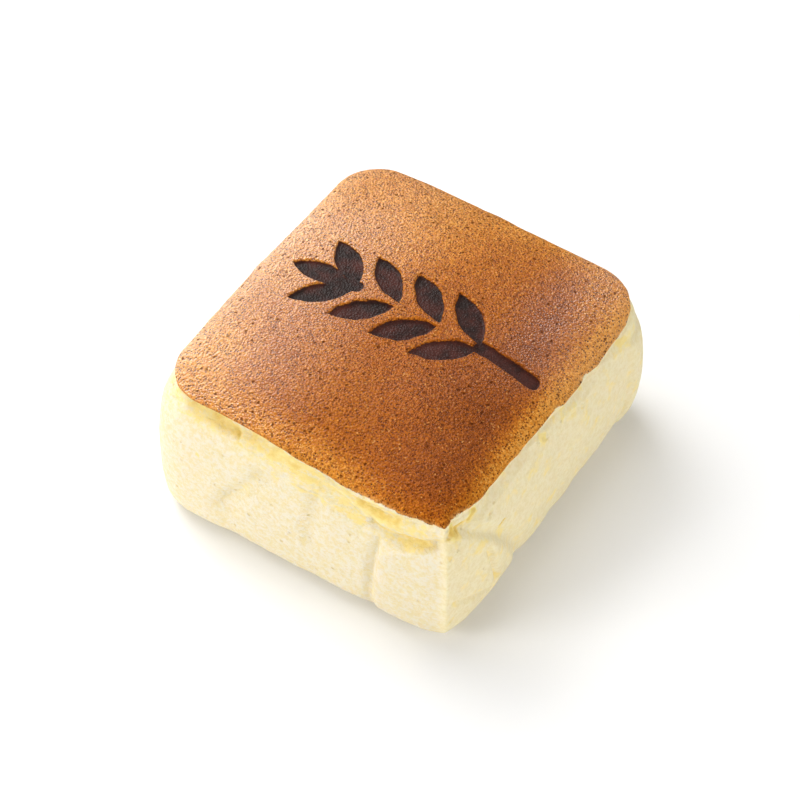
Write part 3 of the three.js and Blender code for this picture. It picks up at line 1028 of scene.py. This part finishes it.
@dataclass
class SouffleCake:
    """The cake: a block that is divided finely, moved into its baked form, roughened and dressed."""

    form: BakedForm
    ear: WheatEar
    wall_cuts: tuple[int, int] = (12, 11)
    row_cuts: tuple[int, int] = (8, 7)
    row_crowding: float = 0.35
    ring_crowding: float = 1.25
    fine_rim: float = 3.0
    fine_mark: float = 1.8
    no_burn: float = -9.0
    coats: CakePaint = CakePaint()
    wall_grit: tuple[Grit, ...] = (Grit(1, 0.45, 17, 3), Grit(8, 0.4, (8, 8, 34)), Grit(5, 0.10, 2.4, 2))
    top_grit: tuple[Grit, ...] = (Grit(2, 0.35, 22, 3), Grit(6, 0.07, 2.6, 2))
    tear_stray: tuple[Grit, ...] = (Grit(31, 0.9, (3.4, 3.4, 2.2)), Grit(32, 0.5, (1.6, 1.6, 1.2)))
    streaks: tuple[Grit, ...] = (Grit(3, 0.5, (9, 9, 2.2)), Grit(4, 0.25, (4, 4, 1.3)))
    streak_band: Point2 = (16, 3)
    char_grit: Grit = Grit(7, 0.10, 1.6, 2)
    char_run: float = 0.6
    lip_depth: float = 0.55
    lip_drop: float = 2.0
    lip_width: float = 0.9
    roll_height: float = 0.16
    roll_away: float = 1.1
    roll_width: float = 0.6
    foot_fade: float = 6.0

    def build(self) -> bpy.types.Object:
        """Model, roughen, paint and dress the cake.

        Returns:
            The finished piece.
        """
        self.rough_out()
        self.refine()
        self.shape()
        self.roughen()
        self.paint()
        self.dress()
        return self.piece

    def rough_out(self) -> None:
        """Add a block and divide it evenly along its three directions; its underside becomes a fan."""
        bpy.ops.object.select_all(action="DESELECT")
        bpy.ops.mesh.primitive_cube_add(size=2)
        self.piece = bpy.context.active_object
        self.piece.name = "baked_cake"
        bpy.ops.object.mode_set(mode="EDIT")
        for step in range(2):
            for axis, cuts in ((0, self.wall_cuts), (1, self.wall_cuts), (2, self.row_cuts)):
                self.select(Part.EDGE, lambda edge: runs_along(edge, axis))
                bpy.ops.mesh.subdivide(number_cuts=cuts[step])
        self.select(Part.FACE, lambda face: face.calc_center_median().z < -BLOCK_FACE)
        bpy.ops.mesh.dissolve_faces()
        bpy.ops.mesh.poke()
        bpy.ops.object.mode_set(mode="OBJECT")

    def select(self, kind: Part, wanted: Callable[[Any], bool]) -> None:
        """Select parts of the block, and no others.

        Args:
            kind: The kind of part.
            wanted: Says whether a part is selected.
        """
        bpy.ops.mesh.select_mode(type=kind.value)
        bpy.ops.mesh.select_all(action="DESELECT")
        mesh = bmesh.from_edit_mesh(self.piece.data)
        for part in mesh.edges if kind is Part.EDGE else mesh.faces:
            if wanted(part):
                part.select_set(True)
        bmesh.update_edit_mesh(self.piece.data)

    def refine(self) -> None:
        """Divide the faces along the rim and along the outline of the mark once more."""
        bpy.ops.object.mode_set(mode="EDIT")
        mesh = bmesh.from_edit_mesh(self.piece.data)
        wanted = self.wants_detail(np.array([face.calc_center_median() for face in mesh.faces]))
        self.select(Part.FACE, lambda face: wanted[face.index])
        bpy.ops.mesh.subdivide(number_cuts=1)
        bpy.ops.object.mode_set(mode="OBJECT")

    def wants_detail(self, centres: Array) -> Array:
        """Say which places of the block need finer faces.

        Args:
            centres: Places on the block, one per row.

        Returns:
            True where the faces are divided again.
        """
        turn, level, ring = self.spot(centres)
        on_top = centres[:, 2] > BLOCK_FACE
        top = self.form.dome(turn, ring)
        near_mark = on_top & (np.abs(self.ear.inside(top[:, 0], top[:, 1])) < self.fine_mark)
        from_rim = np.where(on_top, (1 - ring) * self.form.width, (1 - level) * self.form.rim_at(turn))
        return near_mark | (from_rim < self.fine_rim)

    def spot(self, block: Array) -> tuple[Array, Array, Array]:
        """Turn, level and ring of places on the block.

        Args:
            block: Places on the block, one per row, from -1 to 1.

        Returns:
            The turns, levels and rings.
        """
        x, y, z = block.T
        ring = np.maximum(np.maximum(np.abs(x), np.abs(y)), NO_LENGTH)
        a, b = x / ring, y / ring
        right, back, left = a > 1 - TINY, b > 1 - TINY, a < -1 + TINY
        turn = 3 + (a + 1) / 2
        turn = np.where(left & (b > -1 + TINY), 2 + (1 - b) / 2, turn)
        turn = np.where(back & ~left, 1 + (1 - a) / 2, turn)
        turn = np.where(right & ~back, (b + 1) / 2, turn) % 4
        even = np.clip((z + 1) / 2, 0, 1)
        level = even + self.row_crowding * ((1 - np.cos(math.pi * even)) / 2 - even)
        return turn, level, 1 - np.clip(1 - ring, 0, 1) ** self.ring_crowding

    def read(self, name: str) -> Array:
        """Read a value with three parts from the mesh's points.

        Args:
            name: Blender's name of the value.

        Returns:
            The values, one per row.
        """
        flat = np.empty(3 * len(self.piece.data.vertices))
        self.piece.data.vertices.foreach_get(name, flat)
        return flat.reshape(-1, 3)

    def move(self, places: Array) -> None:
        """Put the mesh's points in new places."""
        self.piece.data.vertices.foreach_set("co", np.ascontiguousarray(places, float).ravel())
        self.piece.data.update()

    def shape(self) -> None:
        """Move the block's points to their places on the baked form."""
        block = self.read("co")
        self.turn, level, self.ring = self.spot(block)
        self.on_top = block[:, 2] > BLOCK_FACE
        self.on_base = block[:, 2] < -BLOCK_FACE
        places = self.form.wall(self.turn, level)
        places[self.on_top] = self.form.dome(self.turn, self.ring)[self.on_top]
        places[self.on_base] *= np.column_stack([self.ring, self.ring, 0 * self.ring])[self.on_base]
        self.smooth_places = places
        self.burn = np.where(self.on_top, self.ear.inside(places[:, 0], places[:, 1]), self.no_burn)
        self.burn += self.ear.wander.at(places)
        self.move(places * MM)

    def roughen(self) -> None:
        """Give the walls, the crust and the mark the relief of a real cake."""
        places = self.smooth_places
        on_wall, height = ~self.on_top, places[:, 2]
        self.below = on_wall * (self.form.rim_at(self.turn) - height)
        tear_depth, self.tear_yolk_and_shade = self.form.torn(self.turn, height, relief_of(self.tear_stray, places))
        streaks = smooth_step(self.below, *self.streak_band) * relief_of(self.streaks, places)
        lip = self.lip_depth * bell(self.below - self.lip_drop, self.lip_width)
        half_run = self.ear.wall_run / 2
        rolled = self.roll_height * bell(self.burn + self.roll_away, self.roll_width)
        relief = on_wall * (relief_of(self.wall_grit, places) + streaks - lip - tear_depth)
        relief += self.on_top * (relief_of(self.top_grit, places) + rolled)
        relief -= self.ear.depth * smooth_step(self.burn, -half_run, half_run)
        relief += self.char_grit.at(places) * smooth_step(self.burn, 0, self.char_run)
        relief *= smooth_step(height, 0.0, self.foot_fade)
        moved = places + self.read("normal") * relief[:, None]
        moved[self.on_base] = places[self.on_base]
        self.move(moved * MM)

    def paint(self) -> None:
        """Paint the values that the finishes read on the mesh's points."""
        coats = self.coats
        x, y, z = self.smooth_places.T

        def coat(patches: tuple[Patch, ...]) -> Array:
            """Sum of patches at the mesh's points."""
            return sum(patch.at(x, y, (x - y) / self.form.width) for patch in patches)

        from_rim = (1 - self.ring) * self.form.width / 2
        reach = self.form.reach_from(Corner.FRONT_RIGHT, self.turn)
        crust = coats.crust_edge + np.where(self.on_top, from_rim, -self.below)
        for middle, width, depth in coats.crust_losses:
            crust -= depth * bell(reach - middle, width)
        rim_width = coat(coats.rim_width) * coat(coats.rim_share)
        golden = coat(coats.golden) * smooth_step(from_rim / rim_width, *coats.golden_reach)
        browning = coat(coats.browning) * (1 - golden) + coat(coats.paling)
        browning += coats.cloud.at(self.smooth_places)
        # The left walls are painted less yellow than the right wall, with stronger mottling, specks and
        # relief.
        left_side = smooth_step(self.turn, *coats.left_side_start) * smooth_step(self.turn, *coats.left_side_end)
        yolk_and_shade = (coats.band_yolk + coats.left_side_yolk * left_side) * bell(self.below - coats.band[0], coats.band[1])
        low = coats.low_yolk * bell(self.below - coats.low_band[0], coats.low_band[1])
        yolk_and_shade += low * smooth_step(reach, *coats.low_start) * smooth_step(reach, *coats.low_end)
        # Folds get yellow as painted shade; tears get yellow that is partly the crumb's own and partly
        # painted shade.
        yolk_and_shade += coats.fold_painted_shade * self.form.folds(self.turn, z) + coats.tear_yolk_and_shade * self.tear_yolk_and_shade
        yolk_and_shade = np.where(self.on_top | self.on_base, coats.hidden_yolk, yolk_and_shade)
        painted = {"crust": crust, "browning": browning, "glaze": coat(coats.glaze) * coat(coats.glaze_share)}
        painted |= {"yolk_and_shade": yolk_and_shade, "left_side": left_side, "burn": self.burn}
        for name, values in painted.items():
            layer = self.piece.data.attributes.new(name, "FLOAT", "POINT")
            layer.data.foreach_set("value", np.ascontiguousarray(values, np.float32))

    def dress(self) -> None:
        """Smooth the shading, give the finish, and set the piece in the frame."""
        bpy.ops.object.shade_smooth()
        self.piece.data.materials.clear()
        self.piece.data.materials.append(sponge_material(CrustFinish(), CrumbFinish(), BurnFinish()))
        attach(self.piece, BODY)
        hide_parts(NODE)


class LightUse(Enum):
    """What a light adds: even light or shine."""

    EVEN = "even"
    SHINE = "shine"


@dataclass(frozen=True)
class SoftBox:
    """A soft studio light that faces the cake; metres and watts."""

    name: str
    use: LightUse
    place: Point3
    size: float
    power: float


@dataclass
class Studio:
    """A pale floor, soft light and the camera; metres."""

    floor_colour: Colour = (0.93, 0.93, 0.93)
    floor_roughness: float = 0.9
    floor_half: float = 6.0
    ambient: float = 0.22
    aim: Point3 = (0.00186, -0.00453, 0.030)
    azimuth: float = 33.05
    elevation: float = 48.97
    distance: float = 0.9505
    focal_pixels: float = 2922.0
    image_pixels: int = 800
    sensor: float = 36.0
    lights: tuple[SoftBox, ...] = (
        SoftBox("key", LightUse.EVEN, (-0.75, 0.35, 0.75), 0.75, 5.8),
        SoftBox("sheen", LightUse.SHINE, (-0.84, 0.41, 0.47), 0.35, 30.0),
        SoftBox("back_sheen", LightUse.SHINE, (0.40, 0.75, 0.50), 0.5, 9.0),
        SoftBox("overhead", LightUse.EVEN, (-0.35, 0.1, 1.0), 0.8, 5.4),
        SoftBox("front_fill", LightUse.EVEN, (-0.55, -0.85, 0.40), 0.5, 6.5),
        SoftBox("right_fill", LightUse.EVEN, (0.99, -0.28, 0.55), 0.8, 6.1),
    )

    def build(self) -> None:
        """Set up the floor, the lights, the world and the camera."""
        self.add_floor()
        for light in self.lights:
            self.add_light(light)
        self.set_world()
        self.add_camera()
        bpy.context.scene.view_settings.view_transform = "Standard"

    def add_floor(self) -> None:
        """Lay a pale floor under the cake."""
        bpy.ops.object.select_all(action="DESELECT")
        bpy.ops.mesh.primitive_plane_add(size=2 * self.floor_half)
        floor = bpy.context.active_object
        floor.name = "floor"
        desk = NodeDesk("pale_floor")
        look = {"Base Color": self.floor_colour, "Roughness": self.floor_roughness}
        floor.data.materials.append(desk.finish(desk.add("ShaderNodeBsdfPrincipled", {}, look)))

    def add_light(self, box: SoftBox) -> None:
        """Hang a soft light that faces the cake."""
        light = bpy.data.lights.new(box.name, "AREA")
        light.size = box.size
        light.energy = box.power
        holder = self.hang(light, Vector(box.place))
        holder.visible_camera = False
        holder.visible_glossy = box.use is LightUse.SHINE
        holder.visible_diffuse = box.use is LightUse.EVEN

    def hang(self, data: bpy.types.ID, place: Vector) -> bpy.types.Object:
        """Put a light or the camera in its place, facing the cake.

        Args:
            data: The light or the camera.
            place: Where it goes.

        Returns:
            The object that holds it.
        """
        holder = bpy.data.objects.new(data.name, data)
        holder.location = place
        holder.rotation_euler = (Vector(self.aim) - place).to_track_quat("-Z", "Y").to_euler()
        bpy.context.scene.collection.objects.link(holder)
        return holder

    def set_world(self) -> None:
        """Give the room an even pale light."""
        world = bpy.data.worlds.new("room")
        bpy.context.scene.world = world
        world.use_nodes = True
        background = world.node_tree.nodes["Background"]
        background.inputs["Color"].default_value = (1, 1, 1, 1)
        background.inputs["Strength"].default_value = self.ambient
        world.cycles_visibility.glossy = False

    def add_camera(self) -> None:
        """Set the camera at the photograph's angle."""
        camera = bpy.data.cameras.new("camera")
        camera.sensor_width = self.sensor
        camera.lens = self.focal_pixels * self.sensor / self.image_pixels
        azimuth, elevation = math.radians(self.azimuth), math.radians(self.elevation)
        level = math.cos(elevation)
        back = Vector((math.sin(azimuth) * level, -math.cos(azimuth) * level, math.sin(elevation)))
        bpy.context.scene.camera = self.hang(camera, Vector(self.aim) + back * self.distance)


def main() -> None:
    """Build the cake and the studio round it."""
    logging.basicConfig(level=logging.INFO, format="%(name)s: %(message)s")
    piece = SouffleCake(BakedForm(), WheatEar()).build()
    triangles = sum(len(face.vertices) - 2 for face in piece.data.polygons)
    log.info("%s: %d triangles", piece.name, triangles)
    Studio().build()


if __name__ == "__main__":
    main()
